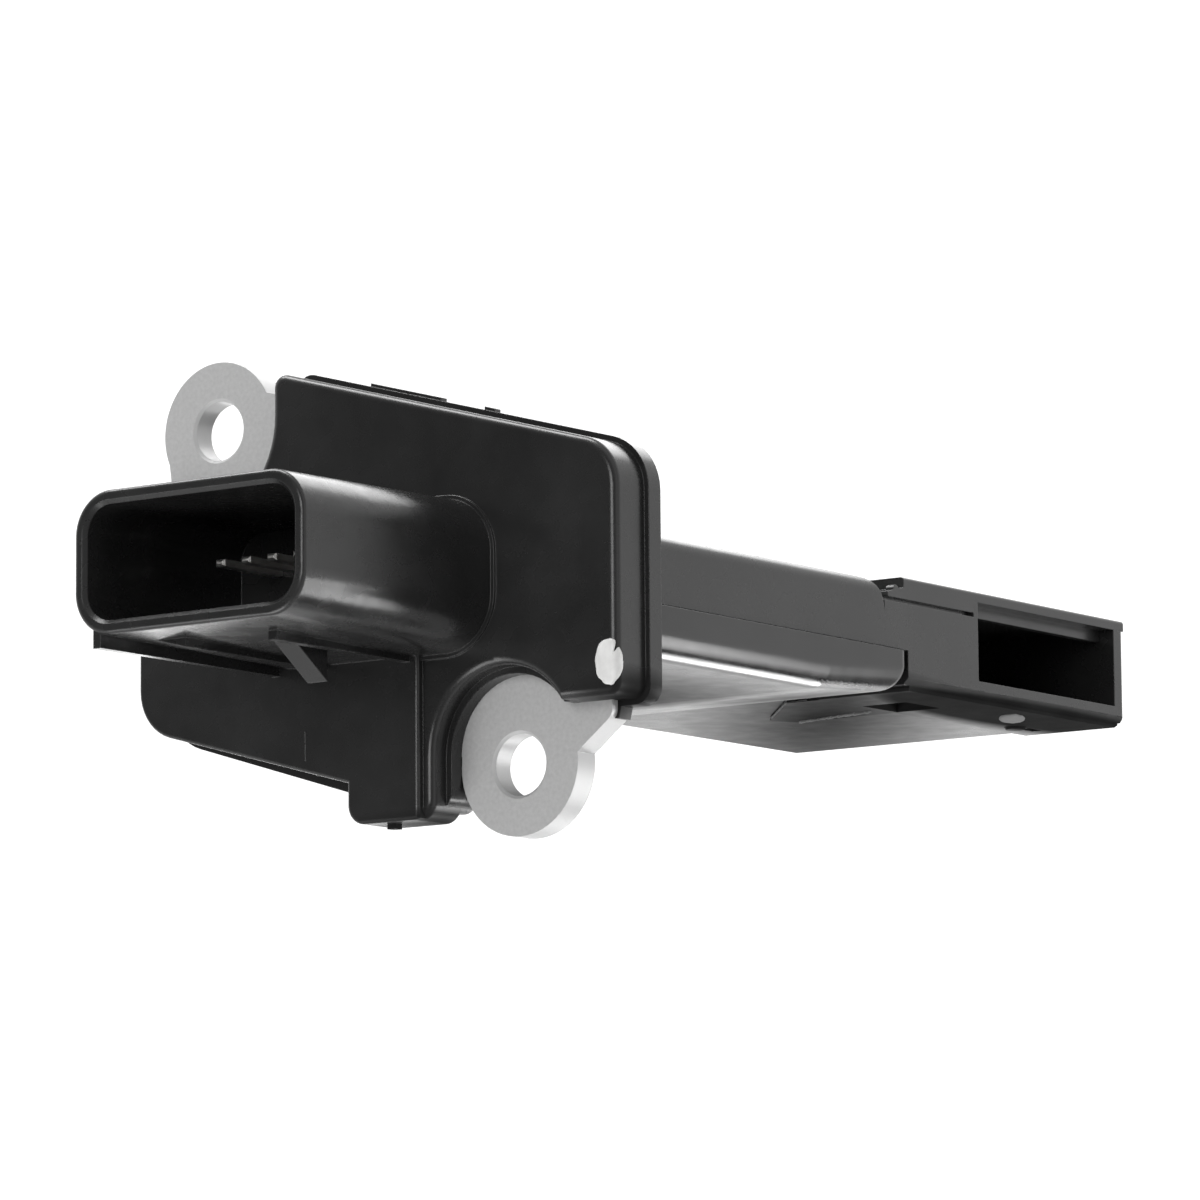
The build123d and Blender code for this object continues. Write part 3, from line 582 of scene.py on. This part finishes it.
# %% Rays through pixels of the photo
dab_middle = (609, 661.5)
block_line_path = ((305, 731), (305.5, 762))
underside_line_path = ((799, 722), (872, 711))
pad_burr_path = ((771.5, 718), (787, 702.5), (808, 700))
cover_flash_path = ((817, 681), (845, 683), (876, 686))
pad_blob_middle = (1012, 718.5)


def ray_tree(node):
    """A search tree over a node's triangles, for casting rays at it."""
    corners = [vertex.co.copy() for vertex in node.data.vertices]
    return BVHTree.FromPolygons(corners, [tuple(face.vertices) for face in node.data.polygons])


housing_rays = ray_tree(nodes["housing"])
cover_rays = ray_tree(nodes["module_cover"])


def seen_at(pixel_x, pixel_y, tree=housing_rays):
    """Place and outward normal on the part behind a pixel of the photo."""
    across = (pixel_x - photo_side / 2) / focal_in_pixels
    upward = (photo_side / 2 - pixel_y) / focal_in_pixels
    place, normal, _, _ = tree.ray_cast(eye, (across * right + upward * up - back).normalized())
    return place, normal


for pixel in (dab_middle, block_line_path[0], pad_blob_middle):
    print("pixel", pixel, "lies at", [round(side / mm, 2) for side in seen_at(*pixel)[0]], "mm")

# %% [markdown]
# A thin piece that rides on the part
#
# Paint and flash are real pieces with a thickness, so each is a closed mesh, not a decal. Its points come
# from a formula, and a few of them may fall on one spot, as in the middle of a disc. Left so, they would
# leave faces without any area in an exported mesh, so equal points are joined first. Each piece is bedded
# a little way into the plastic, so that no gap shows under its rim. It then rides on the part's body.

# %% Make a closed piece
bedded = 0.03 * mm
same_point = 0.0001 * mm


def new_piece(name, points, faces, finish):
    """Make a mesh piece in the part's frame, join equal points, smooth it, and let it ride on the part."""
    mesh = bpy.data.meshes.new(name)
    mesh.from_pydata(points, [], faces)
    shell = bmesh.new()
    shell.from_mesh(mesh)
    bmesh.ops.remove_doubles(shell, verts=shell.verts, dist=same_point)
    bmesh.ops.recalc_face_normals(shell, faces=shell.faces)
    shell.to_mesh(mesh)
    shell.free()
    mesh.shade_smooth()
    mesh.materials.append(finish)
    piece = bpy.data.objects.new(name, mesh)
    bpy.context.scene.collection.objects.link(piece)
    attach(piece, "root")
    return piece


print("pieces are bedded", round(bedded / mm, 3), "mm deep")

# %% [markdown]
# The paint dab
#
# Someone on the line touched the corner of the body with white marking paint. Paint is a thin skin with
# a rounded rim, and a narrow chip of it is missing at the upper right. A flat decal would show at the
# edge, so the dab is a closed skin: rings of points are cast onto the plastic, and its height falls to
# nothing at the rim. A little noise makes the rim uneven, and the chip pulls it in over a few degrees.

# %% Lay the dab
spot_rings = 9
spot_spokes = 96
spot_unevenness = 0.1
paint_chip = {"angle": -52.0, "half_width": 6.0, "depth": 0.5}


def uneven(angle, seed):
    """A smooth random factor near 1 that comes back to itself after a full turn."""
    return 1 + spot_unevenness * noise(Vector((2 * math.cos(angle), 2 * math.sin(angle), seed)))


def chip_out(angle, chip):
    """How far a chip, if there is one, pulls the rim in at this angle."""
    if chip is None:
        return 1.0
    away = (math.degrees(angle) - chip["angle"] + 180) % 360 - 180
    return 1 - chip["depth"] * math.exp(-(away / chip["half_width"]) ** 2)


def draped_spot(name, middle, finish, slot, half_width, half_height, thickness, seed, chip=None):
    """A thin closed spot laid on the housing, given by its middle and half sizes in photo pixels."""
    top, bottom = [], []
    for ring in range(spot_rings + 1):
        share = ring / spot_rings
        rise = thickness * math.sqrt(max(0.0, 1 - share ** 4))
        for spoke in range(spot_spokes):
            angle = 2 * math.pi * spoke / spot_spokes
            reach = share * uneven(angle, seed) * chip_out(angle, chip)
            x = middle[0] + half_width * reach * math.cos(angle)
            y = middle[1] + half_height * reach * math.sin(angle)
            place, normal = seen_at(x, y)
            top.append(place + normal * rise)
            bottom.append(place - normal * bedded)
    lower = len(top)
    faces = []
    for ring in range(spot_rings):
        for spoke in range(spot_spokes):
            a = ring * spot_spokes + spoke
            b = ring * spot_spokes + (spoke + 1) % spot_spokes
            faces.append((a, b, b + spot_spokes, a + spot_spokes))
            faces.append((lower + a, lower + a + spot_spokes, lower + b + spot_spokes, lower + b))
    rim = spot_rings * spot_spokes
    for spoke in range(spot_spokes):
        a = rim + spoke
        b = rim + (spoke + 1) % spot_spokes
        faces.append((a, b, lower + b, lower + a))
    return new_piece(name, top + bottom, faces, finish)


marking_paint = soft_material("marking_paint", (0.72, 0.72, 0.71), (0.88, 0.88, 0.87), 0.25, 0.03, 0.45)
dab = draped_spot("paint_dab", dab_middle, marking_paint, "sealant",
                  half_width=14, half_height=23, thickness=0.09 * mm, seed=3.0, chip=paint_chip)
print("paint dab:", len(dab.data.polygons), "faces")

# %% [markdown]
# Mould marks with painted highlights
#
# Where the halves and the slides of a mould meet, they leave fine raised lines, and where the melt crept
# between them, a ragged edge of flash. The solids carry the larger ones. The finest stand up a quarter of
# a millimetre at most: a line on the raised block, one on the underside of the tip, a burr on the
# slanting end of the tip's pad, and ragged flash at the end of the module cover's lower edge. Each is a
# thin closed ridge that follows the surface through the pixels where the photo shows it. A flat blob
# lies on the pad of the tip, where the runner broke off.
#
# They are paler than the moulding: the pale tone is a painted highlight, standing in for the light that
# catches these thin edges. The torn ones are the rougher: a smooth ridge would mirror the floor at this
# flat angle and turn white.

# %% Lay the mould marks
ridge_step = 0.8
ragged_scale = 0.4


def steps_between(pixels, spacing):
    """Evenly spaced points along a line through the given pixels, each with the line's direction."""
    for (x0, y0), (x1, y1) in zip(pixels, pixels[1:]):
        length = math.hypot(x1 - x0, y1 - y0)
        along_x, along_y = (x1 - x0) / length, (y1 - y0) / length
        count = max(1, round(length / spacing))
        for step in range(count):
            share = step / count
            yield x0 + share * (x1 - x0), y0 + share * (y1 - y0), along_x, along_y


def draped_ridge(name, pixels, finish, slot, half_width, rise, ragged, seed, rays=housing_rays):
    """A low closed ridge along a line of pixels; ragged lets its width and height vary."""
    points = []
    for x, y, along_x, along_y in steps_between(pixels, ridge_step):
        factor = 1 + ragged * noise(Vector((ragged_scale * x, ragged_scale * y, seed)))
        side_x, side_y = -along_y * half_width * factor, along_x * half_width * factor
        middle, normal = seen_at(x, y, rays)
        left, _ = seen_at(x + side_x, y + side_y, rays)
        other, _ = seen_at(x - side_x, y - side_y, rays)
        if middle is None or left is None or other is None:
            continue
        crest = middle + normal * rise * factor
        keel = middle - 2 * normal * bedded
        points += [left - normal * bedded, crest, other - normal * bedded, keel]
    last = len(points) - 4
    faces = [(3, 2, 1, 0), (last, last + 1, last + 2, last + 3)]
    for base in range(0, last, 4):
        for corner in range(4):
            after = (corner + 1) % 4
            faces.append((base + corner, base + after, base + 4 + after, base + 4 + corner))
    return new_piece(name, points, faces, finish)


# Painted highlight: these pale tones stand in for the light caught along the thin edges and ridges.
flash_painted_highlight = soft_material("flash_painted_highlight", (0.07, 0.07, 0.07), (0.16, 0.16, 0.16), 0.12, 0.02, 0.4)
torn_plastic_painted_highlight = soft_material("torn_plastic_painted_highlight", (0.04, 0.04, 0.04), (0.09, 0.09, 0.09), 0.3, 0.05, 0.74)
torn_with_painted_highlight = (torn_plastic_painted_highlight, "housing_plastic")
marks = [
    draped_ridge("block_line", block_line_path, *torn_with_painted_highlight,
                 half_width=0.8, rise=0.06 * mm, ragged=0.5, seed=1.0),
    draped_ridge("underside_line", underside_line_path, *torn_with_painted_highlight,
                 half_width=1.2, rise=0.16 * mm, ragged=0.6, seed=2.0),
    draped_ridge("pad_burr", pad_burr_path, *torn_with_painted_highlight,
                 half_width=1.2, rise=0.12 * mm, ragged=0.6, seed=5.0),
    draped_ridge("cover_flash", cover_flash_path, flash_painted_highlight, "cover_plastic",
                 half_width=1.8, rise=0.08 * mm, ragged=1.3, seed=4.0, rays=cover_rays),
    draped_spot("pad_blob", pad_blob_middle, *torn_with_painted_highlight,
                half_width=13, half_height=4.5, thickness=0.14 * mm, seed=7.0),
]
print("mould marks:", {mark.name: len(mark.data.polygons) for mark in marks})

# %% [markdown]
# Closing the frame
#
# Both boxes, the CAD part's and the dressed part's, are printed in millimetres.

# %% Print the sizes
visual_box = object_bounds()
sizes = {"cad": [list(corner) for corner in cad_box], "visual": [list(corner) for corner in visual_box]}
sides = {name: [round((high - low) / mm, 2) for low, high in zip(*box)] for name, box in sizes.items()}
print("sizes in mm:", sides)
